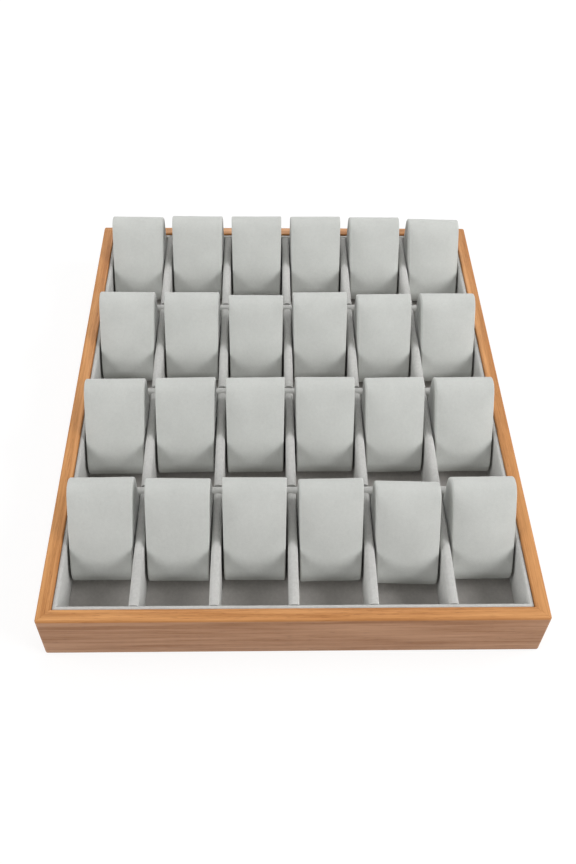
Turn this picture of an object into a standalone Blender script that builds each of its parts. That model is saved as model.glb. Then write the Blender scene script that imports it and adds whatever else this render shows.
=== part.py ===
"""Watch display tray: a mitred wooden frame with a fabric-covered liner, a grid of
fabric-covered dividers and one soft watch pillow standing in each cell.

Metres, +Z up. The tray stands on the plane Z = 0, centred on X and Y.
The front of the tray, where the pillows slope down, faces -Y.
"""
import math

import bmesh
import bpy
from mathutils import Matrix, Vector

MM = 0.001

# Wooden frame
TRAY_WIDTH = 350 * MM
TRAY_DEPTH = 430 * MM
FRAME_HEIGHT = 44 * MM
RAIL_THICKNESS = 10 * MM
CORNER_RADIUS = 2 * MM
ARRIS_RADIUS = 1.2 * MM

# Panel let into a rebate in the underside of the frame
BASE_THICKNESS = 5 * MM
REBATE_WIDTH = 4 * MM

# Fabric-covered liner, a little lower than the rim of the frame
FLOOR_THICKNESS = 2.7 * MM
LINER_THICKNESS = 3 * MM
LINER_DROP = 1.5 * MM
LINER_TOP_RADIUS = 1.2 * MM

# Fabric-covered dividers, crossing in half laps
COLUMNS = 6
ROWS = 4
DIVIDER_THICKNESS = 7 * MM
DIVIDER_TOP_RADIUS = 2.6 * MM
LAP_CLEARANCE = 0.4 * MM

# Watch pillow: flat ends, upright back, round crest and a long slope down to a round
# foot just clear of the floor, so the pillow stands on its heel. It narrows towards
# the foot, and its soft slope swells between the ends.
PILLOW_DEPTH = 57.5 * MM
PILLOW_HEIGHT = 65.4 * MM
PILLOW_SIDE_CLEARANCE = 0.5 * MM
PILLOW_BACK_CLEARANCE = 0.5 * MM
CREST_RADIUS = 12.5 * MM
FRONT_RADIUS = 400 * MM
FOOT_RADIUS = 12 * MM
FOOT_LIFT = 1.5 * MM
HEEL_RADIUS = 6 * MM
PILLOW_EDGE_RADIUS = 1.2 * MM
PILLOW_TAPER = 3 * MM
PILLOW_CROWN = 3 * MM

# How far each pillow is pushed forward in its cell, in millimetres, front row first
# and left to right, and how far its right end is pushed ahead of its left end
PILLOW_SLIDES = (
    (2.0, 3.0, 2.5, 3.5, 6.0, 2.5),
    (6.0, 4.5, 4.5, 4.5, 4.5, 4.5),
    (5.0, 5.5, 9.0, 5.0, 7.0, 6.5),
    (1.0, 0.0, 0.0, 0.0, 1.0, 3.0),
)
PILLOW_SKEWS = (
    (-0.5, 0.5, 0.5, -1.0, 1.5, -0.5),
    (-0.5, -1.0, -1.0, 0.0, -1.0, -0.5),
    (0.5, 0.0, 0.0, -0.5, -1.0, 0.0),
    (1.0, 0.5, -0.5, -0.5, 0.0, 1.5),
)

# Space left between pieces that touch
JOINT_GAP = 0.3 * MM

BASE_TOP = BASE_THICKNESS
FLOOR_TOP = BASE_TOP + JOINT_GAP + FLOOR_THICKNESS
GRID_BOTTOM = FLOOR_TOP + JOINT_GAP
GRID_TOP = FRAME_HEIGHT - LINER_DROP
LINER_INSET = RAIL_THICKNESS + JOINT_GAP
CELLS_INSET = LINER_INSET + LINER_THICKNESS
CELLS_WIDTH = TRAY_WIDTH - 2 * CELLS_INSET
CELLS_DEPTH = TRAY_DEPTH - 2 * CELLS_INSET
CELL_WIDTH = (CELLS_WIDTH - (COLUMNS - 1) * DIVIDER_THICKNESS) / COLUMNS
CELL_DEPTH = (CELLS_DEPTH - (ROWS - 1) * DIVIDER_THICKNESS) / ROWS
COLUMN_PITCH = CELL_WIDTH + DIVIDER_THICKNESS
ROW_PITCH = CELL_DEPTH + DIVIDER_THICKNESS
LAP_LEVEL = (GRID_BOTTOM + GRID_TOP) / 2


def material(name, colour, roughness):
    """One painted-on finish: colour as linear RGB."""
    finish = bpy.data.materials.new(name)
    finish.use_nodes = True
    shader = finish.node_tree.nodes["Principled BSDF"]
    shader.inputs["Base Color"].default_value = (*colour, 1.0)
    shader.inputs["Roughness"].default_value = roughness
    shader.inputs["Metallic"].default_value = 0.0
    return finish


def add_object(name, mesh_data, finish, location=(0, 0, 0), turn=0.0):
    """Turn a bmesh into a named object, its faces pointing out."""
    bmesh.ops.remove_doubles(mesh_data, verts=mesh_data.verts, dist=1e-7)
    bmesh.ops.recalc_face_normals(mesh_data, faces=mesh_data.faces)
    mesh = bpy.data.meshes.new(name)
    mesh_data.to_mesh(mesh)
    mesh_data.free()
    mesh.materials.append(finish)
    mesh.shade_smooth()
    mesh.set_sharp_from_angle(angle=math.radians(30))
    piece = bpy.data.objects.new(name, mesh)
    piece.location = location
    piece.rotation_euler.z = turn
    bpy.context.scene.collection.objects.link(piece)
    return piece


def arc(centre, radius, start, end, steps):
    """Points on a circle from one angle to another, in degrees."""
    points = []
    for step in range(steps + 1):
        angle = math.radians(start + (end - start) * step / steps)
        points.append((centre[0] + radius * math.cos(angle), centre[1] + radius * math.sin(angle)))
    return points


def angle_of(offset):
    """Direction of a flat vector, in degrees."""
    return math.degrees(math.atan2(offset.y, offset.x))


def loft(rings):
    """Skin a list of rings of equal count and close both ends."""
    mesh_data = bmesh.new()
    loops = [[mesh_data.verts.new(point) for point in ring] for ring in rings]
    count = len(loops[0])
    for near, far in zip(loops, loops[1:]):
        for index in range(count):
            after = (index + 1) % count
            mesh_data.faces.new((near[index], near[after], far[after], far[index]))
    mesh_data.faces.new(reversed(loops[0]))
    mesh_data.faces.new(loops[-1])
    return mesh_data


def box(width, depth, height):
    """A block on the plane Z = 0, centred on X and Y."""
    mesh_data = bmesh.new()
    bmesh.ops.create_cube(mesh_data, size=1.0)
    bmesh.ops.scale(mesh_data, vec=(width, depth, height), verts=mesh_data.verts)
    bmesh.ops.translate(mesh_data, vec=(0, 0, height / 2), verts=mesh_data.verts)
    return mesh_data


def mitred_bar(section, length, corner_radius):
    """Sweep a section, given as (inset from the outer face, height), into a bar with
    45 degree ends whose outer upright edges are rounded where two bars meet."""
    end = length / 2 - JOINT_GAP / math.sqrt(2)
    rings = []
    corner_steps = 3
    for side in (-1, 1):
        steps = range(corner_steps + 1)
        if side < 0:
            steps = reversed(steps)
        for step in steps:
            angle = math.radians(45) * step / corner_steps
            ring = []
            for inset, height in section:
                reach = max(corner_radius - inset, 0)
                along = end - max(corner_radius, inset) + reach * math.sin(angle)
                across = max(corner_radius, inset) - reach * math.cos(angle)
                ring.append((side * along, across, height))
            rings.append(ring)
    mesh_data = loft(rings)
    bmesh.ops.remove_doubles(mesh_data, verts=mesh_data.verts, dist=1e-7)
    return mesh_data


def four_sides(names, section, outer_inset, corner_radius, finish):
    """Place mitred bars on the front, right, back and left of the tray."""
    width = TRAY_WIDTH - 2 * outer_inset
    depth = TRAY_DEPTH - 2 * outer_inset
    spans = (width, depth, width, depth)
    for index, (name, span) in enumerate(zip(names, spans)):
        turn = index * math.pi / 2
        outward = (depth, width)[index % 2] / 2
        location = Matrix.Rotation(turn, 3, "Z") @ Vector((0, -outward, 0))
        add_object(name, mitred_bar(section, span, corner_radius), finish, location, turn)


def wooden_frame(finish):
    """Four mitred rails, eased on every arris and rebated underneath for the base."""
    thin = RAIL_THICKNESS - REBATE_WIDTH
    ledge = BASE_THICKNESS + JOINT_GAP
    ease = ARRIS_RADIUS
    top = FRAME_HEIGHT - ease
    section = [(thin, 0)]
    section += [(thin, ledge), (RAIL_THICKNESS, ledge)]
    section += arc((RAIL_THICKNESS - ease, top), ease, 0, 90, 3)
    section += arc((ease, top), ease, 90, 180, 3)
    section += arc((ease, ease), ease, 180, 270, 3)
    names = ("front_rail", "right_rail", "back_rail", "left_rail")
    four_sides(names, section, 0, CORNER_RADIUS, finish)


def base_panel(finish):
    """Flat panel in the rebate, flush with the underside of the rails."""
    inset = RAIL_THICKNESS - REBATE_WIDTH + JOINT_GAP
    panel = box(TRAY_WIDTH - 2 * inset, TRAY_DEPTH - 2 * inset, BASE_THICKNESS)
    add_object("base_panel", panel, finish)


def liner(finish):
    """Covered floor board, and four covered wall boards standing on it."""
    inset = LINER_INSET
    floor = box(TRAY_WIDTH - 2 * inset, TRAY_DEPTH - 2 * inset, FLOOR_THICKNESS)
    add_object("liner_floor", floor, finish, (0, 0, BASE_TOP + JOINT_GAP))
    radius = min(LINER_TOP_RADIUS, LINER_THICKNESS * 0.45)
    section = [(0, GRID_BOTTOM), (LINER_THICKNESS, GRID_BOTTOM)]
    section += arc((LINER_THICKNESS - radius, GRID_TOP - radius), radius, 0, 90, 3)
    section += arc((radius, GRID_TOP - radius), radius, 90, 180, 3)
    names = ("liner_front_wall", "liner_right_wall", "liner_back_wall", "liner_left_wall")
    four_sides(names, section, inset, 0, finish)


def divider_blank(length):
    """A board along X with a softly rounded top edge."""
    half = DIVIDER_THICKNESS / 2
    radius = min(DIVIDER_TOP_RADIUS, half * 0.9)
    section = [(-half, GRID_BOTTOM), (half, GRID_BOTTOM)]
    section += arc((half - radius, GRID_TOP - radius), radius, 0, 90, 4)
    section += arc((radius - half, GRID_TOP - radius), radius, 90, 180, 4)
    return loft([[(side * length / 2, y, z) for y, z in section] for side in (-1, 1)])


def cut_laps(board, places, bottom, top):
    """Cut one slot across a divider at each place along it."""
    slots = bmesh.new()
    slot_width = DIVIDER_THICKNESS + 2 * LAP_CLEARANCE
    for along in places:
        block = bmesh.ops.create_cube(slots, size=1.0)["verts"]
        bmesh.ops.scale(slots, vec=(slot_width, 3 * DIVIDER_THICKNESS, top - bottom), verts=block)
        bmesh.ops.translate(slots, vec=(along, 0, (bottom + top) / 2), verts=block)
    mesh = bpy.data.meshes.new(board.name + "_slots")
    slots.to_mesh(mesh)
    slots.free()
    cutter = bpy.data.objects.new(board.name + "_slots", mesh)
    cutter.location = board.location
    cutter.rotation_euler = board.rotation_euler
    cutter.hide_render = True
    cutter.display_type = "WIRE"
    bpy.context.scene.collection.objects.link(cutter)
    cut = board.modifiers.new("laps", "BOOLEAN")
    cut.object = cutter
    cut.solver = "EXACT"


def dividers(finish):
    """Long dividers run front to back, slotted from above; the cross dividers run from
    side to side, slotted from below, and drop over them."""
    over = FRAME_HEIGHT
    column_places = [(index + 1 - COLUMNS / 2) * COLUMN_PITCH for index in range(COLUMNS - 1)]
    row_places = [(index + 1 - ROWS / 2) * ROW_PITCH for index in range(ROWS - 1)]
    for index, x in enumerate(column_places):
        blank = divider_blank(CELLS_DEPTH - 2 * JOINT_GAP)
        board = add_object(f"long_divider_{index + 1}", blank, finish, (x, 0, 0), math.pi / 2)
        cut_laps(board, row_places, LAP_LEVEL - JOINT_GAP / 2, over)
    for index, y in enumerate(row_places):
        blank = divider_blank(CELLS_WIDTH - 2 * JOINT_GAP)
        board = add_object(f"cross_divider_{index + 1}", blank, finish, (0, y, 0))
        cut_laps(board, column_places, 0, LAP_LEVEL + JOINT_GAP / 2)


def pillow_outline():
    """Side view of a pillow as pairs of (distance forward of its back, height) and the
    swell there half way between the ends. Heel, crest and foot are arcs, joined by the
    upright back, one wide front arc and a flat underside."""
    heel = Vector((HEEL_RADIUS, HEEL_RADIUS))
    crest = Vector((CREST_RADIUS, PILLOW_HEIGHT - CREST_RADIUS))
    foot = Vector((PILLOW_DEPTH - FOOT_RADIUS, FOOT_LIFT + FOOT_RADIUS))

    span = foot - crest
    to_crest = FRONT_RADIUS - CREST_RADIUS
    to_foot = FRONT_RADIUS - FOOT_RADIUS
    along = (to_crest ** 2 - to_foot ** 2 + span.length_squared) / (2 * span.length)
    aside = math.sqrt(to_crest ** 2 - along ** 2)
    direction = span.normalized()
    centre = crest + direction * along + Vector((direction.y, -direction.x)) * aside
    upper = angle_of(crest - centre)
    lower = angle_of(foot - centre)

    base = foot - heel
    under = angle_of(base) - math.degrees(math.acos((HEEL_RADIUS - FOOT_RADIUS) / base.length))

    still = Vector((0, 0))
    outline = [(Vector(point), still) for point in arc(heel, HEEL_RADIUS, 360 + under, 180, 3)]
    outline += [(Vector(point), still) for point in arc(crest, CREST_RADIUS, 180, upper, 6)]
    slope = arc(centre, FRONT_RADIUS, upper, lower, 6)
    for step, point in enumerate(slope[1:-1], 1):
        swell = PILLOW_CROWN * math.sin(math.pi * step / (len(slope) - 1))
        outline.append((Vector(point), (Vector(point) - centre).normalized() * swell))
    outline += [(Vector(point), still) for point in arc(foot, FOOT_RADIUS, lower, under, 5)]
    return outline


def pillow_ring(outline, share, skew):
    """Section of a pillow part of the way from its middle, 0, to one of its ends, 1."""
    ring = []
    for point, swell in outline:
        half_width = (CELL_WIDTH - PILLOW_TAPER * point.x / PILLOW_DEPTH) / 2 - PILLOW_SIDE_CLEARANCE
        place = point + swell * (1 - share ** 2)
        ring.append((share * half_width, -place.x - share * skew / 2, place.y))
    return ring


def pillows(finish):
    """One pillow in each cell, its back towards the divider or wall behind it."""
    outline = pillow_outline()
    for row in range(ROWS):
        cell_back = -CELLS_DEPTH / 2 + (row + 1) * CELL_DEPTH + row * DIVIDER_THICKNESS
        for column in range(COLUMNS):
            skew = PILLOW_SKEWS[row % len(PILLOW_SKEWS)][column % len(PILLOW_SKEWS[0])] * MM
            slide = PILLOW_SLIDES[row % len(PILLOW_SLIDES)][column % len(PILLOW_SLIDES[0])] * MM
            back = cell_back - PILLOW_BACK_CLEARANCE - abs(skew) / 2 - slide
            rings = [pillow_ring(outline, share, skew) for share in (-1, -0.6, 0, 0.6, 1)]
            place = ((column + 0.5 - COLUMNS / 2) * COLUMN_PITCH, back, GRID_BOTTOM)
            pillow = add_object(f"pillow_row{row + 1}_col{column + 1}", loft(rings), finish, place)
            ends = pillow.modifiers.new("soft_ends", "BEVEL")
            ends.width = PILLOW_EDGE_RADIUS
            ends.segments = 1
            ends.limit_method = "ANGLE"
            ends.angle_limit = math.radians(60)


def build():
    for old in list(bpy.data.objects):
        bpy.data.objects.remove(old, do_unlink=True)
    oak = material("oak_veneer", (0.60, 0.30, 0.125), 0.5)
    panel = material("base_board", (0.45, 0.33, 0.22), 0.7)
    cover = material("grey_velvet_liner", (0.52, 0.52, 0.50), 0.95)
    cushion = material("grey_velvet_pillow", (0.56, 0.56, 0.54), 0.95)
    wooden_frame(oak)
    base_panel(panel)
    liner(cover)
    dividers(cover)
    pillows(cushion)


build()
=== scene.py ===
"""Looks of a watch display tray: a lacquered oak frame, grey suede liner and dividers, and
twenty-four grey suede watch pillows. Metres, +Z up, front of the tray towards -Y."""

import math

import bmesh
import bpy
from mathutils import Matrix, Vector, noise


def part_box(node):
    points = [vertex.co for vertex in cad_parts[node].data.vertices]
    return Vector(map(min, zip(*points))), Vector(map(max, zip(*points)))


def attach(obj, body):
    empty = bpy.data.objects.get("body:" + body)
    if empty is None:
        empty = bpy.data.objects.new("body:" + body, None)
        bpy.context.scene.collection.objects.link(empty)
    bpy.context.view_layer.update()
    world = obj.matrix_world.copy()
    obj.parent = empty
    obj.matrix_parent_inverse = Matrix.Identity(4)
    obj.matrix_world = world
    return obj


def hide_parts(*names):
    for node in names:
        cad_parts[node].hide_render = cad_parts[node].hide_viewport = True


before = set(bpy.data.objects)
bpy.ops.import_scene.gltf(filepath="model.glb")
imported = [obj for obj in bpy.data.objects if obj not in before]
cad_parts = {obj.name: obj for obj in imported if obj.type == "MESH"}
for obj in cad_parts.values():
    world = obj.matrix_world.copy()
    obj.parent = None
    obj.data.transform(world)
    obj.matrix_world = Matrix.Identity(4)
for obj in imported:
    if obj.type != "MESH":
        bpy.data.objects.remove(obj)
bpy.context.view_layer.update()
MM = 0.001


# Oak rails. Four lengths of oak are glued at mitred corners, sanded so that every arris
# is eased, and sealed with a thin satin lacquer. The grain runs along each rail, painted
# shade makes the faces below the rim darker and less orange than the rim's top, and a
# rebate underneath takes the base panel.
RAILS = ("front_rail", "right_rail", "back_rail", "left_rail")
RAIL_ARRIS = 1.3 * MM
RAIL_CORNER = 2.0 * MM
RAIL_CURVE_STEPS = 6
MITRE_JOINT = 0.05 * MM
MITRE_ANGLE = 45
REBATE_LEDGE = 5.3 * MM
REBATE_LIP = 6.0 * MM
FOLD_ANGLE = 35             # degrees: a sharper fold than this shows as an edge
WELD = 1e-7

OAK_PALE = (0.660, 0.320, 0.118, 1)
OAK_BROWN = (0.420, 0.170, 0.048, 1)
OAK_PORE = (0.250, 0.090, 0.024, 1)
# Painted shade: the faces below the rim are multiplied by this, darker and less orange than the
# rim's top.
FACE_OAK_SHADE = (0.73, 0.80, 1.16, 1)
NEXT_PLANK = 0.37           # metres of figure skipped from one rail to the next

# The figure: repeats per metre along the grain, across it and up, then detail and
# roughness of each noise. Below, what part of the noise counts and what it adds to brown.
OAK_DRIFT = ((5, 60, 60), 2, 0.5)
OAK_BANDS = ((7, 210, 210), 4, 0.62)
OAK_FIBRE = ((34, 1500, 1500), 3, 0.6)
OAK_DASHES = ((130, 3300, 3300), 1, 0.4)
DRIFT_TONE = (0.35, 0.65, 0, 0.26)
BAND_TONE = (0.34, 0.66, -0.18, 0.86)
FIBRE_TONE = (0.3, 0.7, -0.2, 0.24)
PORE_START, PORE_FULL = 0.60, 0.68
PORES_IN_BANDS = (0.42, 0.6, 0.25, 1)
PORE_DARK = 0.75
FIBRE_HEIGHT, PORE_DEPTH = 0.35, 0.65
SMOOTHEST, ROUGHEST = 0.46, 0.56

# The rim: the joint under it is a thin dark line, and painted shade turns the rim's top
# browner along both its edges, where the arris and the gap to the liner fall into shade.
RIM_JOINT = 42.8 * MM
RIM_MIDDLE = 5.0 * MM
JOINT_HALF = 0.3 * MM
JOINT_FADE = 0.8 * MM
JOINT_DARK = 0.3
RIM_SHADE_START, RIM_SHADE_FULL = 3.0 * MM, 4.4 * MM
RIM_SHADE_WANDER = 4 * MM
RIM_SHADE_DARK = 0.5


def arc(centre, radius, start, end, steps):
    """Points on a circle between two angles in degrees."""
    turns = [math.radians(start + (end - start) * step / steps) for step in range(steps + 1)]
    return [(centre[0] + radius * math.cos(t), centre[1] + radius * math.sin(t)) for t in turns]


def skin(name, rings, finish, sharp=FOLD_ANGLE):
    """Skin rings of points into one closed mesh."""
    work = bmesh.new()
    loops = [[work.verts.new(point) for point in ring] for ring in rings]
    count = len(loops[0])
    for near, far in zip(loops, loops[1:]):
        for index in range(count):
            after = (index + 1) % count
            work.faces.new((near[index], near[after], far[after], far[index]))
    work.faces.new(reversed(loops[0]))
    work.faces.new(loops[-1])
    bmesh.ops.remove_doubles(work, verts=work.verts, dist=WELD)
    bmesh.ops.dissolve_degenerate(work, edges=work.edges, dist=WELD)
    bmesh.ops.recalc_face_normals(work, faces=work.faces)
    return finished(work, name, finish, sharp)


def finished(work, name, finish, sharp=FOLD_ANGLE):
    """Turn worked faces into a mesh with its finish, smooth between the sharp folds."""
    mesh = bpy.data.meshes.new(name)
    work.to_mesh(mesh)
    work.free()
    mesh.materials.append(finish)
    mesh.shade_smooth()
    mesh.set_sharp_from_angle(angle=math.radians(sharp))
    return mesh


def set_in_place(mesh, node):
    """Show a mesh instead of its solid, riding on the tray."""
    piece = bpy.data.objects.new(mesh.name, mesh)
    bpy.context.scene.collection.objects.link(piece)
    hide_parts(node)
    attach(piece, "root")
    return piece


def surface_group(name, inputs):
    """An empty node group that puts out a surface's colour, height and roughness. An input
    is a colour where it starts as four numbers, and a value where it starts as one."""
    tree = bpy.data.node_groups.new(name, "ShaderNodeTree")
    for label, value in inputs:
        kind = "NodeSocketColor" if isinstance(value, tuple) else "NodeSocketFloat"
        socket = tree.interface.new_socket(label, in_out="INPUT", socket_type=kind)
        socket.default_value = value
    for label, kind in (("Color", "NodeSocketColor"), ("Height", "NodeSocketFloat"),
                        ("Roughness", "NodeSocketFloat")):
        tree.interface.new_socket(label, in_out="OUTPUT", socket_type=kind)
    return tree, tree.nodes.new("NodeGroupInput"), tree.nodes.new("NodeGroupOutput")


def feed(tree, socket, given):
    """Set a socket to a number or colour, or link another socket to it."""
    if isinstance(given, (tuple, int, float)):
        socket.default_value = given
    else:
        tree.links.new(given, socket)


def stretched_noise(tree, vector, scales, detail, rough):
    """Noise drawn out along one axis by scaling its coordinates."""
    mapping = tree.nodes.new("ShaderNodeMapping")
    mapping.inputs["Scale"].default_value = scales
    texture = tree.nodes.new("ShaderNodeTexNoise")
    texture.inputs["Scale"].default_value = 1
    texture.inputs["Detail"].default_value = detail
    texture.inputs["Roughness"].default_value = rough
    tree.links.new(vector, mapping.inputs["Vector"])
    tree.links.new(mapping.outputs["Vector"], texture.inputs["Vector"])
    return texture.outputs["Fac"]


def spread(tree, value, low, high, to_low=0.0, to_high=1.0):
    """Remap a value between two limits, clamped."""
    node = tree.nodes.new("ShaderNodeMapRange")
    limits = {"From Min": low, "From Max": high, "To Min": to_low, "To Max": to_high}
    for label, number in limits.items():
        node.inputs[label].default_value = number
    tree.links.new(value, node.inputs["Value"])
    return node.outputs["Result"]


def combine(tree, operation, first, second=0):
    """One maths node; either side may be a number or a socket."""
    node = tree.nodes.new("ShaderNodeMath")
    node.operation = operation
    feed(tree, node.inputs[0], first)
    feed(tree, node.inputs[1], second)
    return node.outputs["Value"]


def blend_colours(tree, factor, first, second, mode="MIX"):
    """Mix two colours by a value."""
    node = tree.nodes.new("ShaderNodeMix")
    node.data_type = "RGBA"
    node.blend_type = mode
    for label, given in (("Factor", factor), ("A", first), ("B", second)):
        feed(tree, node.inputs[label], given)
    return [out for out in node.outputs if out.type == "RGBA"][0]


def wood_grain_group():
    """Grain along X of the attribute "grain": broad bands, fibre streaks and open pores.
    The wood below the rim is multiplied by the face input, which is painted shade: darker
    and less orange than the rim's top. The last input brings in the dark joint under the
    rim and painted shade along both edges of the rim's top."""
    tree, given, out = surface_group("wood grain", (
        ("Pale", OAK_PALE), ("Brown", OAK_BROWN), ("Pore", OAK_PORE),
        ("Pores", 1.0), ("Face shade", FACE_OAK_SHADE), ("Joint and edge shade", 1.0)))
    place = tree.nodes.new("ShaderNodeAttribute")
    place.attribute_name = "grain"
    vector = place.outputs["Vector"]
    split = tree.nodes.new("ShaderNodeSeparateXYZ")
    tree.links.new(vector, split.inputs["Vector"])
    across, up = split.outputs["Y"], split.outputs["Z"]

    bands = stretched_noise(tree, vector, *OAK_BANDS)
    fibre = stretched_noise(tree, vector, *OAK_FIBRE)
    drift = stretched_noise(tree, vector, *OAK_DRIFT)
    tone = combine(tree, "ADD", spread(tree, bands, *BAND_TONE),
                   spread(tree, drift, *DRIFT_TONE))
    tone = combine(tree, "ADD", tone, spread(tree, fibre, *FIBRE_TONE))
    pores = spread(tree, stretched_noise(tree, vector, *OAK_DASHES), PORE_START, PORE_FULL)
    pores = combine(tree, "MULTIPLY", pores, spread(tree, bands, *PORES_IN_BANDS))
    pores = combine(tree, "MULTIPLY", pores, given.outputs["Pores"])
    wood = blend_colours(tree, tone, given.outputs["Pale"], given.outputs["Brown"])
    pore_shade = combine(tree, "MULTIPLY", pores, PORE_DARK)
    wood = blend_colours(tree, pore_shade, wood, given.outputs["Pore"])

    below_rim = spread(tree, up, RIM_JOINT - JOINT_HALF, RIM_JOINT + JOINT_HALF, 1, 0)
    # Painted shade: the wood below the rim is multiplied by the face tint, darker and less
    # orange than the rim's top.
    shaded_face_wood = blend_colours(tree, 1.0, wood, given.outputs["Face shade"], "MULTIPLY")
    wood = blend_colours(tree, below_rim, wood, shaded_face_wood)
    off_joint = combine(tree, "ABSOLUTE", combine(tree, "SUBTRACT", up, RIM_JOINT))
    joint = spread(tree, off_joint, JOINT_HALF, JOINT_FADE, JOINT_DARK, 0)
    # Painted shade: the rim's top turns browner towards its inner and outer edges, where the
    # arris and the gap to the liner fall into shade.
    off_middle = combine(tree, "ABSOLUTE", combine(tree, "SUBTRACT", across, RIM_MIDDLE))
    wander = combine(tree, "MULTIPLY", combine(tree, "SUBTRACT", bands, 0.5), RIM_SHADE_WANDER)
    edge = combine(tree, "ADD", off_middle, wander)
    edge = combine(tree, "MULTIPLY", spread(tree, edge, RIM_SHADE_START, RIM_SHADE_FULL),
                   spread(tree, below_rim, 0, 1, RIM_SHADE_DARK, 0))
    joint_and_edge_shade = combine(tree, "MULTIPLY", combine(tree, "MAXIMUM", joint, edge),
                      given.outputs["Joint and edge shade"])
    wood = blend_colours(tree, joint_and_edge_shade, wood, given.outputs["Brown"])

    relief = combine(tree, "SUBTRACT", combine(tree, "MULTIPLY", fibre, FIBRE_HEIGHT),
                     combine(tree, "MULTIPLY", pores, PORE_DEPTH))
    tree.links.new(wood, out.inputs["Color"])
    tree.links.new(relief, out.inputs["Height"])
    tree.links.new(spread(tree, tone, 0, 1, SMOOTHEST, ROUGHEST), out.inputs["Roughness"])
    return tree


def finish_from(name, group, values, bump_strength, bump_depth, settings):
    """A Principled material fed by a surface group, with its constants on the shader."""
    material = bpy.data.materials.new(name)
    material.use_nodes = True
    tree = material.node_tree
    shader = tree.nodes["Principled BSDF"]
    surface = tree.nodes.new("ShaderNodeGroup")
    surface.node_tree = group
    for label, value in values.items():
        surface.inputs[label].default_value = value
    relief = tree.nodes.new("ShaderNodeBump")
    relief.inputs["Strength"].default_value = bump_strength
    relief.inputs["Distance"].default_value = bump_depth
    tree.links.new(surface.outputs["Color"], shader.inputs["Base Color"])
    tree.links.new(surface.outputs["Roughness"], shader.inputs["Roughness"])
    tree.links.new(surface.outputs["Height"], relief.inputs["Height"])
    tree.links.new(relief.outputs["Normal"], shader.inputs["Normal"])
    for label, value in settings.items():
        shader.inputs[label].default_value = value
    return material


def add_grain(mesh, origin, along, across, offset):
    """Store where each point lies in its own plank: along the grain, across it, and up."""
    place = mesh.attributes.new("grain", "FLOAT_VECTOR", "POINT")
    for index, vertex in enumerate(mesh.vertices):
        step = vertex.co - origin
        place.data[index].vector = (step.dot(along) + offset, step.dot(across), step.z)


def oak_rail(name, index, frame_size):
    """One mitred rail with its outer corners rounded, turned to its side of the tray."""
    low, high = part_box(name)
    thickness = min(high.x - low.x, high.y - low.y)
    span, reach = frame_size.x, frame_size.y
    if index % 2 == 1:
        span, reach = reach, span
    top = high.z - RAIL_ARRIS
    section = [(REBATE_LIP, 0), (REBATE_LIP, REBATE_LEDGE), (thickness, REBATE_LEDGE)]
    section += arc((thickness - RAIL_ARRIS, top), RAIL_ARRIS, 0, 90, RAIL_CURVE_STEPS)
    section += arc((RAIL_ARRIS, top), RAIL_ARRIS, 90, 180, RAIL_CURVE_STEPS)
    section += arc((RAIL_ARRIS, RAIL_ARRIS), RAIL_ARRIS, 180, 270, RAIL_CURVE_STEPS)
    turn = Matrix.Rotation(index * math.pi / 2, 3, "Z")
    end = span / 2 - MITRE_JOINT
    bend = range(RAIL_CURVE_STEPS + 1)
    rings = []
    for side, steps in ((-1, reversed(bend)), (1, bend)):
        for step in steps:
            angle = math.radians(MITRE_ANGLE) * step / RAIL_CURVE_STEPS
            ring = []
            for inset, up in section:
                curve = max(RAIL_CORNER - inset, 0)
                along = end - max(RAIL_CORNER, inset) + curve * math.sin(angle)
                out = max(RAIL_CORNER, inset) - curve * math.cos(angle)
                ring.append(turn @ Vector((side * along, out - reach / 2, up)))
            rings.append(ring)
    mesh = skin("oak_" + name, rings, oak)
    outer_edge = turn @ Vector((0, -reach / 2, 0))
    along_rail, across_rail = turn @ Vector((1, 0, 0)), turn @ Vector((0, 1, 0))
    add_grain(mesh, outer_edge, along_rail, across_rail, NEXT_PLANK * index)
    set_in_place(mesh, name)


wood_grain = wood_grain_group()
oak = finish_from("satin oak", wood_grain, {}, bump_strength=0.35, bump_depth=0.2 * MM,
                  settings={"Coat Weight": 0.06, "Coat Roughness": 0.35,
                            "Specular IOR Level": 0.3})
front_top, right_top, back_top = (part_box(name)[1] for name in RAILS[:3])
frame_size = Vector((2 * right_top.x, 2 * back_top.y, front_top.z))
for index, name in enumerate(RAILS):
    oak_rail(name, index, frame_size)


# Base panel. A thin plywood sheet glued into the rebate, flush with the underside of
# the rails, its edges lightly broken. It is left bare.
PLY_EDGE = 0.4 * MM
PLY_PALE = (0.60, 0.44, 0.28, 1)
PLY_BROWN = (0.46, 0.31, 0.18, 1)
PLY_PORE = (0.30, 0.19, 0.10, 1)
PLY_FIGURE = 2.1            # metres: its place in the figure, away from the rails' wood
UNTINTED = (1, 1, 1, 1)
BROKEN_EDGE_STEPS = 3


def flat_sheet(name, node, edge, finish):
    """A flat sheet the size of its solid, with its edges broken."""
    low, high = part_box(node)
    work = bmesh.new()
    bmesh.ops.create_cube(work, size=1)
    bmesh.ops.scale(work, vec=high - low, verts=work.verts)
    bmesh.ops.translate(work, vec=(low + high) / 2, verts=work.verts)
    bmesh.ops.bevel(work, geom=work.edges[:], offset=edge, segments=BROKEN_EDGE_STEPS,
                    profile=0.5, affect="EDGES")
    return finished(work, name, finish)


ply = finish_from("bare plywood", wood_grain,
                  {"Pale": PLY_PALE, "Brown": PLY_BROWN, "Pore": PLY_PORE, "Pores": 0.4,
                   "Face shade": UNTINTED, "Joint and edge shade": 0.0},
                  bump_strength=0.3, bump_depth=0.2 * MM,
                  settings={"Specular IOR Level": 0.25})
panel = flat_sheet("plywood_base", "base_panel", PLY_EDGE, ply)
add_grain(panel, Vector((0, 0, 0)), Vector((0, 1, 0)), Vector((1, 0, 0)), PLY_FIGURE)
set_in_place(panel, "base_panel")


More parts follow.
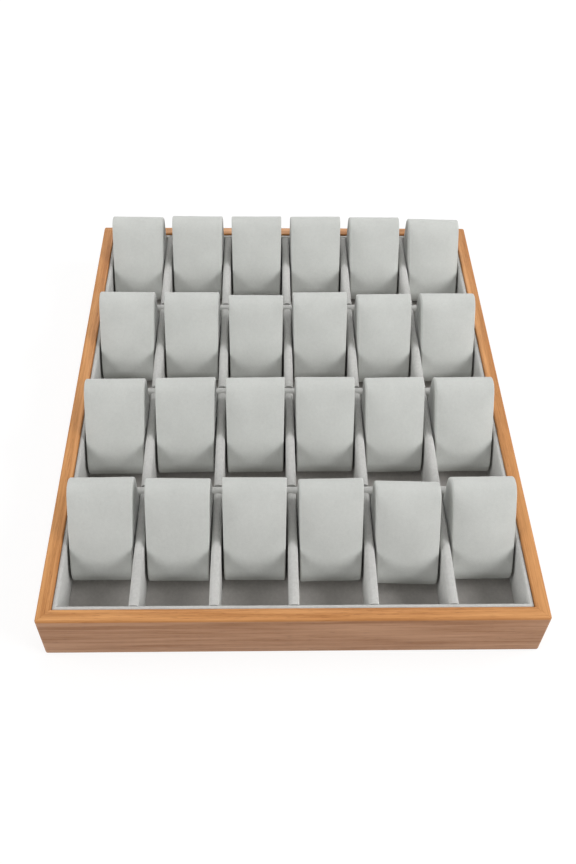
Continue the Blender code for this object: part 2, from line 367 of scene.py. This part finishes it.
# Liner. Thin boards wrapped in grey suede cloth: one lies on the base, and four stand on
# it against the rails, a little lower than the rim. The cloth rolls over their top edge.
LINER_WALLS = ("liner_front_wall", "liner_right_wall", "liner_back_wall", "liner_left_wall")
LINER_ROLL = 1.35 * MM
LINER_BACK = 0.4 * MM
LINER_SIDE_STEPS, LINER_ROLL_STEPS, LINER_BACK_STEPS = 6, 6, 4
LINER_FLOOR_EDGE = 0.5 * MM
LINER_JOINT = 0.05 * MM
LINER_STATIONS = 70
LINER_BOW = (0.16 * MM, 14 * MM)        # how far the cloth wavers, and over what length
LINER_RISE = (0.12 * MM, 18 * MM)

SUEDE_GREY = (0.532, 0.530, 0.512, 1)
FLOOR_GREY = (0.560, 0.535, 0.512, 1)
SUEDE_BRUSHED = ((42, 30, 55), 2, 0.5)
SUEDE_MOTTLED = ((420, 420, 420), 3, 0.6)
SUEDE_TOOTH = ((2600, 2600, 2600), 2, 0.6)
NAP_LOW, NAP_HIGH = 0.3, 0.7
BRUSH_SHADE, MOTTLE_SHADE, TOOTH_SHADE = 0.045, 0.05, 0.05
TOOTH_HEIGHT, MOTTLE_HEIGHT = 0.6, 0.4
SUEDE_SMOOTHEST, SUEDE_ROUGHEST = 0.86, 0.96
NAP_DEPTH = 0.25 * MM
NAP_SHEEN_ROUGHNESS = 0.45


def suede_group():
    """Short nap: brushed patches, small mottling and a fine tooth."""
    tree, given, out = surface_group("suede nap", (
        ("Tone", SUEDE_GREY), ("Mottle", 1.0), ("Brush", 1.0)))
    vector = tree.nodes.new("ShaderNodeTexCoord").outputs["Object"]
    brushed = stretched_noise(tree, vector, *SUEDE_BRUSHED)
    mottled = stretched_noise(tree, vector, *SUEDE_MOTTLED)
    tooth = stretched_noise(tree, vector, *SUEDE_TOOTH)
    patches = spread(tree, brushed, NAP_LOW, NAP_HIGH, -BRUSH_SHADE, BRUSH_SHADE)
    patches = combine(tree, "MULTIPLY", patches, given.outputs["Brush"])
    spots = spread(tree, mottled, NAP_LOW, NAP_HIGH, -MOTTLE_SHADE, MOTTLE_SHADE)
    spots = combine(tree, "MULTIPLY", spots, given.outputs["Mottle"])
    grit = spread(tree, tooth, NAP_LOW, NAP_HIGH, -TOOTH_SHADE, TOOTH_SHADE)
    light = combine(tree, "ADD", combine(tree, "ADD", patches, spots),
                    combine(tree, "ADD", grit, 1.0))
    shade = tree.nodes.new("ShaderNodeVectorMath")
    shade.operation = "SCALE"
    tree.links.new(given.outputs["Tone"], shade.inputs[0])
    tree.links.new(light, shade.inputs["Scale"])
    relief = combine(tree, "ADD", combine(tree, "MULTIPLY", tooth, TOOTH_HEIGHT),
                     combine(tree, "MULTIPLY", mottled, MOTTLE_HEIGHT))
    rough = spread(tree, mottled, NAP_LOW, NAP_HIGH, SUEDE_SMOOTHEST, SUEDE_ROUGHEST)
    tree.links.new(shade.outputs["Vector"], out.inputs["Color"])
    tree.links.new(relief, out.inputs["Height"])
    tree.links.new(rough, out.inputs["Roughness"])
    return tree


def wave(point, amount, length, seed):
    """Small push that makes glued cloth look slightly uneven. The seed only picks another
    place in the noise."""
    return amount * noise.noise(point / length + Vector((seed, 3.1 * seed, 0)))


def liner_wall(name, index):
    """One covered wall board, its cloth rolled over the top, cornered at 45 degrees."""
    low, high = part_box(name)
    floor_low, floor_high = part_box("liner_floor")
    size = floor_high - floor_low
    thickness = min(high.x - low.x, high.y - low.y)
    span, reach = size.x, size.y
    if index % 2 == 1:
        span, reach = reach, span
    top = high.z - LINER_ROLL
    section = [(0, low.z), (thickness, low.z)]
    section += [(thickness, low.z + (top - low.z) * step / LINER_SIDE_STEPS)
                for step in range(1, LINER_SIDE_STEPS)]
    section += arc((thickness - LINER_ROLL, top), LINER_ROLL, 0, 90, LINER_ROLL_STEPS)
    section += arc((LINER_BACK, high.z - LINER_BACK), LINER_BACK, 90, 180, LINER_BACK_STEPS)
    turn = Matrix.Rotation(index * math.pi / 2, 3, "Z")
    rings = []
    for station in range(LINER_STATIONS + 1):
        share = 2 * station / LINER_STATIONS - 1
        ring = []
        for inset, up in section:
            along = share * (span / 2 - inset - LINER_JOINT)
            spot = Vector((along, inset - reach / 2, up))
            if inset > 0 and up > low.z:
                spot.y += wave(spot, *LINER_BOW, index)
                spot.z += wave(spot, *LINER_RISE, index + 9)
            ring.append(turn @ spot)
        rings.append(ring)
    set_in_place(skin("suede_" + name, rings, liner_suede), name)


suede_nap = suede_group()
liner_suede = finish_from("liner suede", suede_nap, {"Mottle": 1.2},
                          bump_strength=0.45, bump_depth=NAP_DEPTH,
                          settings={"Sheen Weight": 0.2, "Specular IOR Level": 0.2,
                                    "Sheen Roughness": NAP_SHEEN_ROUGHNESS})
floor_suede = finish_from("floor suede", suede_nap, {"Tone": FLOOR_GREY, "Mottle": 1.2},
                          bump_strength=0.45, bump_depth=NAP_DEPTH,
                          settings={"Sheen Weight": 0.1, "Specular IOR Level": 0.15,
                                    "Sheen Roughness": NAP_SHEEN_ROUGHNESS})
liner_floor = flat_sheet("suede_liner_floor", "liner_floor", LINER_FLOOR_EDGE, floor_suede)
set_in_place(liner_floor, "liner_floor")
for index, name in enumerate(LINER_WALLS):
    liner_wall(name, index)


# Dividers. Boards wrapped in the same suede, with soft round tops. The five long ones
# are slotted from above and the three cross ones from below, and they drop together.
LONG_DIVIDERS = [f"long_divider_{number}" for number in range(1, 6)]
CROSS_DIVIDERS = [f"cross_divider_{number}" for number in range(1, 4)]
DIVIDER_ROLL = 2.9 * MM
DIVIDER_SIDE_STEPS, DIVIDER_ROLL_STEPS = 8, 8
DIVIDER_STATION = 5 * MM
SLOT_PLAY = 0.55 * MM
LAP_LEVEL = 25.4 * MM
DIVIDER_RISE = (0.22 * MM, 22 * MM)
DIVIDER_BOW = (0.2 * MM, 16 * MM)
CALM_END = 4 * MM           # the cloth wavers less this near to a slot or an end
CALMEST = 0.3


def divider(name, axis, crossings, thickness, from_above):
    """A covered board along X or Y, cut away where the other boards cross it."""
    low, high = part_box(name)
    start, stop = (low.x, high.x) if axis == 0 else (low.y, high.y)
    middle = (low.y + high.y) / 2 if axis == 0 else (low.x + high.x) / 2
    half = thickness / 2
    top = high.z - DIVIDER_ROLL
    levels = [low.z + (top - low.z) * step / DIVIDER_SIDE_STEPS
              for step in range(1, DIVIDER_SIDE_STEPS)]
    section = [(-half, low.z), (half, low.z)]
    section += [(half, level) for level in levels]
    section += arc((half - DIVIDER_ROLL, top), DIVIDER_ROLL, 0, 90, DIVIDER_ROLL_STEPS)
    section += arc((DIVIDER_ROLL - half, top), DIVIDER_ROLL, 90, 180, DIVIDER_ROLL_STEPS)
    section += [(-half, level) for level in reversed(levels)]
    slots = [at + side * (half + SLOT_PLAY) for at in crossings for side in (-1, 1)]
    edges = [start] + slots + [stop]
    rings = []
    for part, (first, last) in enumerate(zip(edges, edges[1:])):
        in_slot = part % 2 == 1
        count = max(2, round((last - first) / DIVIDER_STATION))
        for step in range(count + 1):
            along = first + (last - first) * step / count
            near_end = min(abs(along - first), abs(last - along))
            ring = []
            for across, up in section:
                if in_slot:
                    up = min(up, LAP_LEVEL) if from_above else max(up, LAP_LEVEL)
                aside = middle + across
                spot = Vector((along, aside, up) if axis == 0 else (aside, along, up))
                if low.z < up and not (in_slot and from_above):
                    rise = wave(spot, *DIVIDER_RISE, middle * 100)
                    if up > LAP_LEVEL:
                        spot.z += rise * min(1, near_end / CALM_END + CALMEST)
                    spot[1 - axis] += wave(spot, *DIVIDER_BOW, middle * 70 + 5)
                ring.append(spot)
            rings.append(ring)
    set_in_place(skin("suede_" + name, rings, liner_suede), name)


column_lines = [sum(corner.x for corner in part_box(name)) / 2 for name in LONG_DIVIDERS]
row_lines = [sum(corner.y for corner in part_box(name)) / 2 for name in CROSS_DIVIDERS]
divider_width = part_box(LONG_DIVIDERS[0])[1].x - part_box(LONG_DIVIDERS[0])[0].x
for name in LONG_DIVIDERS:
    divider(name, 1, row_lines, divider_width, True)
for name in CROSS_DIVIDERS:
    divider(name, 0, column_lines, divider_width, False)


# Watch pillows. Foam wedges covered in suede: one long strip of cloth wraps the back,
# the round crest and the sloping front, which the foam presses out between the seams, and
# two flat end panels close the sides. The round toe is just clear of the floor.
PILLOW_ROWS, PILLOW_COLUMNS = 4, 6
PILLOW_CREST = 12.5 * MM
PILLOW_FRONT = 400 * MM
PILLOW_TOE = 12 * MM
PILLOW_TOE_LIFT = 0.6 * MM
PILLOW_HEEL = 6 * MM
PILLOW_EDGE = 1.1 * MM
PILLOW_TAPER = 3.0 * MM
PILLOW_SPACING = 2.1 * MM
HEEL_STEPS, CREST_STEPS, FRONT_STEPS, TOE_STEPS = 12, 24, 30, 16
EDGE_STEP_ANGLE = 15
STRIP_STEPS = 11
END_PANEL = ((0.08, 0.12), (0.35, 0.10), (0.62, 0.07), (0.82, 0.03), (0.93, 0.0))
PILLOW_FOLD_ANGLE = 60

PILLOW_PRESSURE = 4000
LOOSE_CREST = 9             # points of the crest's bend where the front is already loose
LOOSE_BIAS = 1.5            # moves the loosest place down the slope
LOOSE_GAIN = 2.5
CLOTH_FRAMES = 20
MOST_PRESSED = 4 * MM
PILLOW_SWELL = (0.18 * MM, 24 * MM)
PILLOW_DIMPLE = (0.05 * MM, 7 * MM)
PILLOW_GREY = (0.572, 0.582, 0.557, 1)


def bearing(step):
    """Direction of a flat vector in degrees."""
    return math.degrees(math.atan2(step.y, step.x))


def looseness(share):
    """How loose the cloth is at a share of the way down the front, from 0 to 1."""
    return math.sin(math.pi * share ** LOOSE_BIAS)


def pillow_outline(depth, height, spacing):
    """Side view in even steps, as (distance forward of the back, height) and how loose
    the cloth is there."""
    heel = Vector((PILLOW_HEEL, PILLOW_HEEL))
    crest = Vector((PILLOW_CREST, height - PILLOW_CREST))
    toe = Vector((depth - PILLOW_TOE, PILLOW_TOE_LIFT + PILLOW_TOE))
    span = toe - crest
    to_crest = PILLOW_FRONT - PILLOW_CREST
    to_toe = PILLOW_FRONT - PILLOW_TOE
    along = (to_crest ** 2 - to_toe ** 2 + span.length_squared) / (2 * span.length)
    aside = math.sqrt(to_crest ** 2 - along ** 2)
    way = span.normalized()
    centre = crest + way * along + Vector((way.y, -way.x)) * aside
    upper = bearing(crest - centre)
    lower = bearing(toe - centre)
    base = toe - heel
    under = bearing(base) - math.degrees(math.acos((PILLOW_HEEL - PILLOW_TOE) / base.length))
    bend = arc(crest, PILLOW_CREST, 180, upper, CREST_STEPS)
    front = bend[-LOOSE_CREST:] + arc(centre, PILLOW_FRONT, upper, lower, FRONT_STEPS)[1:]
    held_back = arc(heel, PILLOW_HEEL, 360 + under, 180, HEEL_STEPS) + bend[:-LOOSE_CREST]
    held_toe = arc(toe, PILLOW_TOE, lower, under, TOE_STEPS)[1:]
    rough = [(Vector(point), 0.0) for point in held_back]
    rough += [(Vector(point), looseness(step / (len(front) - 1)))
              for step, point in enumerate(front)]
    rough += [(Vector(point), 0.0) for point in held_toe]
    lengths = [0.0]
    for here, there in zip(rough, rough[1:] + rough[:1]):
        lengths.append(lengths[-1] + (there[0] - here[0]).length)
    count = round(lengths[-1] / spacing)
    even, place = [], 0
    for step in range(count):
        target = lengths[-1] * step / count
        while lengths[place + 1] < target:
            place += 1
        share = (target - lengths[place]) / (lengths[place + 1] - lengths[place])
        here, there = rough[place], rough[(place + 1) % len(rough)]
        even.append((here[0].lerp(there[0], share), here[1] + (there[1] - here[1]) * share))
    return even


def pillow_form(depth, height, width):
    """One pillow before the foam fills it, with the share of each point that is loose."""
    outline = pillow_outline(depth, height, PILLOW_SPACING)
    count = len(outline)
    centre = sum((point for point, loose in outline), Vector((0, 0))) / count
    normals = []
    for index in range(count):
        tangent = (outline[(index + 1) % count][0] - outline[index - 1][0]).normalized()
        normals.append(Vector((-tangent.y, tangent.x)))
    half = width / 2
    inner = half - PILLOW_EDGE
    # Each station: how far out it is, how far inside the outline, and the outline's share.
    stations = [(half + swell * MM, PILLOW_EDGE, share) for share, swell in END_PANEL]
    for angle in range(0, 91, EDGE_STEP_ANGLE):
        turn = math.radians(angle)
        out, pull = PILLOW_EDGE * math.cos(turn), PILLOW_EDGE * (1 - math.sin(turn))
        stations.append((inner + out, pull, 1.0))
    stations += [(inner * (1 - step / STRIP_STEPS), 0.0, 1.0)
                 for step in range(1, STRIP_STEPS + 1)]
    stations = [(-place, pull, share) for place, pull, share in stations] + stations[-2::-1]
    rings = []
    for place, pull, share in stations:
        ring = []
        for (point, loose), normal in zip(outline, normals):
            spot = centre + (point - normal * pull - centre) * share
            side = place - PILLOW_TAPER / 2 * place / half * spot.x / depth
            ring.append(Vector((side, -spot.x, spot.y)))
        rings.append(ring)
    mesh = skin("pillow_form", rings, pillow_suede, PILLOW_FOLD_ANGLE)
    free = []
    for vertex in mesh.vertices:
        flat = Vector((-vertex.co.y, vertex.co.z))
        near = min(outline, key=lambda pair: (pair[0] - flat).length_squared)
        free.append(near[1] if abs(vertex.co.x) < inner - PILLOW_TAPER / 2 else 0.0)
    return mesh, free


def press_out(mesh, free):
    """Let the foam press the cloth out, held where it isn't loose, and keep the result."""
    piece = bpy.data.objects.new("pillow_form", mesh)
    bpy.context.scene.collection.objects.link(piece)
    held = piece.vertex_groups.new(name="held")
    for index, loose in enumerate(free):
        held.add([index], 1 - min(1.0, LOOSE_GAIN * loose), "REPLACE")
    cloth = piece.modifiers.new("cloth", "CLOTH")
    cloth.settings.vertex_group_mass = "held"
    cloth.settings.use_pressure = True
    cloth.settings.uniform_pressure_force = PILLOW_PRESSURE
    cloth.settings.effector_weights.gravity = 0
    cloth.collision_settings.use_collision = False
    cloth.point_cache.frame_end = CLOTH_FRAMES
    for number in range(1, CLOTH_FRAMES + 1):
        bpy.context.scene.frame_set(number)
    settled = piece.evaluated_get(bpy.context.evaluated_depsgraph_get()).data
    moves = [there.co - here.co for here, there in zip(mesh.vertices, settled.vertices)]
    bpy.context.scene.frame_set(1)
    bpy.data.objects.remove(piece)
    for vertex, move in zip(mesh.vertices, moves):
        vertex.co += move * min(1.0, MOST_PRESSED / max(move.length, MM))


def pillow_backs(name):
    """Where the two ends of a pillow's back are along Y."""
    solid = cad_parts[name].data.vertices
    middle = sum(corner.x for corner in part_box(name)) / 2
    return (max(v.co.y for v in solid if v.co.x < middle),
            max(v.co.y for v in solid if v.co.x > middle))


def pillow(name, seed):
    """One pillow in place, turned as it stands, with its own soft unevenness."""
    low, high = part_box(name)
    middle, half = (low.x + high.x) / 2, (high.x - low.x) / 2
    back_left, back_right = pillow_backs(name)
    mesh = filled_pillow.copy()
    mesh.name = "suede_" + name
    for vertex, still in zip(mesh.vertices, filled_pillow.vertices):
        lean = (back_left + back_right) / 2 - (back_left - back_right) / 2 * still.co.x / half
        here = still.co + Vector((middle, lean, low.z))
        push = wave(here, *PILLOW_SWELL, seed) + wave(here, *PILLOW_DIMPLE, seed + 40)
        vertex.co = here + Vector((0, still.normal.y, still.normal.z)) * push
    piece = set_in_place(mesh, name)


pillow_suede = finish_from("pillow suede", suede_nap,
                           {"Tone": PILLOW_GREY, "Mottle": 0.5, "Brush": 0.7},
                           bump_strength=0.35, bump_depth=NAP_DEPTH,
                           settings={"Sheen Weight": 0.34, "Specular IOR Level": 0.2,
                                     "Sheen Roughness": NAP_SHEEN_ROUGHNESS})
low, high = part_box("pillow_row1_col1")
back_left, back_right = pillow_backs("pillow_row1_col1")
depth = high.y - low.y - abs(back_left - back_right)
filled_pillow, free = pillow_form(depth, high.z - low.z, high.x - low.x)
press_out(filled_pillow, free)
for row in range(1, PILLOW_ROWS + 1):
    for column in range(1, PILLOW_COLUMNS + 1):
        pillow(f"pillow_row{row}_col{column}", row * 7.3 + column * 1.7)


# Studio. A pale floor, four soft lamps, two low ones between front and side and two higher
# ones at the sides, a fifth behind, and an even sky. The dividers throw the side lamps'
# shadows on the pillows. The camera looks down from in front, a little left of the middle.
FLOOR_HALF = 6
FLOOR_DROP = 0.2 * MM
FLOOR_LIT = (0.8, 0.8, 0.8, 1)
FLOOR_SEEN = (0.24, 0.24, 0.24, 1)
FLOOR_GLOW = (0.45, 1.8, 0.80, 1.0)     # near and far from its middle, glow near and far
WHITE = (1, 1, 1, 1)
SKY_LEVEL = 0.225
LAMP_DISTANCE = 1.5


def seen_directly(tree):
    """1 where the camera sees a surface itself, in a reflection or through glass."""
    ray = tree.nodes.new("ShaderNodeLightPath").outputs
    seen = combine(tree, "MAXIMUM", ray["Is Camera Ray"], ray["Is Glossy Ray"])
    return combine(tree, "MAXIMUM", seen, ray["Is Transmission Ray"])


def pale_floor():
    """Nearly white with the tray's shadow where it is seen, and plain to the light."""
    material = bpy.data.materials.new("pale floor")
    material.use_nodes = True
    tree = material.node_tree
    tree.nodes.remove(tree.nodes["Principled BSDF"])
    plain = tree.nodes.new("ShaderNodeBsdfDiffuse")
    plain.inputs["Color"].default_value = FLOOR_LIT
    faint = tree.nodes.new("ShaderNodeBsdfDiffuse")
    faint.inputs["Color"].default_value = FLOOR_SEEN
    away = tree.nodes.new("ShaderNodeVectorMath")
    away.operation = "LENGTH"
    tree.links.new(tree.nodes.new("ShaderNodeTexCoord").outputs["Object"], away.inputs[0])
    glow = tree.nodes.new("ShaderNodeEmission")
    tree.links.new(spread(tree, away.outputs["Value"], *FLOOR_GLOW), glow.inputs["Strength"])
    both = tree.nodes.new("ShaderNodeAddShader")
    tree.links.new(faint.outputs["BSDF"], both.inputs[0])
    tree.links.new(glow.outputs["Emission"], both.inputs[1])
    pick = tree.nodes.new("ShaderNodeMixShader")
    tree.links.new(seen_directly(tree), pick.inputs["Fac"])
    tree.links.new(plain.outputs["BSDF"], pick.inputs[1])
    tree.links.new(both.outputs["Shader"], pick.inputs[2])
    tree.links.new(pick.outputs["Shader"], tree.nodes["Material Output"].inputs["Surface"])
    return material


def soft_lamp(name, turn, rise, size, watts):
    """A square lamp aimed at the tray, turned so far from the front towards the left."""
    data = bpy.data.lights.new(name, "AREA")
    data.shape = "SQUARE"
    data.size = size
    data.energy = watts
    lamp = bpy.data.objects.new(name, data)
    turn, rise = math.radians(turn), math.radians(rise)
    out = math.cos(rise)
    way = Vector((-out * math.sin(turn), -out * math.cos(turn), math.sin(rise)))
    lamp.location = way * LAMP_DISTANCE
    lamp.rotation_euler = way.to_track_quat("Z", "Y").to_euler()
    bpy.context.scene.collection.objects.link(lamp)


floor_work = bmesh.new()
bmesh.ops.create_grid(floor_work, x_segments=1, y_segments=1, size=FLOOR_HALF)
floor_mesh = bpy.data.meshes.new("studio_floor")
floor_work.to_mesh(floor_mesh)
floor_work.free()
floor_mesh.materials.append(pale_floor())
floor = bpy.data.objects.new("studio_floor", floor_mesh)
floor.location.z = -FLOOR_DROP
bpy.context.scene.collection.objects.link(floor)

sky = bpy.data.worlds.new("studio sky")
sky.use_nodes = True
sky_light = sky.node_tree.nodes["Background"]
sky_light.inputs["Color"].default_value = WHITE
sky_level = spread(sky.node_tree, seen_directly(sky.node_tree), 0, 1, SKY_LEVEL, 1.0)
sky.node_tree.links.new(sky_level, sky_light.inputs["Strength"])
bpy.context.scene.world = sky

soft_lamp("low left lamp", turn=60, rise=25, size=0.6, watts=7.5)
soft_lamp("low right lamp", turn=-60, rise=25, size=0.6, watts=10.1)
soft_lamp("side left lamp", turn=90, rise=40, size=0.6, watts=3.7)
soft_lamp("side right lamp", turn=-90, rise=40, size=0.6, watts=6.7)
soft_lamp("back lamp", turn=180, rise=40, size=0.4, watts=7.9)

camera_data = bpy.data.cameras.new("camera")
camera_data.sensor_fit = "VERTICAL"
camera_data.sensor_height = 36
camera_data.lens = 38.743
camera_data.clip_start = 0.01
camera = bpy.data.objects.new("camera", camera_data)
camera.location = (-0.0199, -0.52625, 0.60194)
camera.rotation_euler = [math.radians(angle) for angle in (40.644, -1.004, -1.002)]
bpy.context.scene.collection.objects.link(camera)
bpy.context.scene.camera = camera
bpy.context.scene.view_settings.view_transform = "Standard"
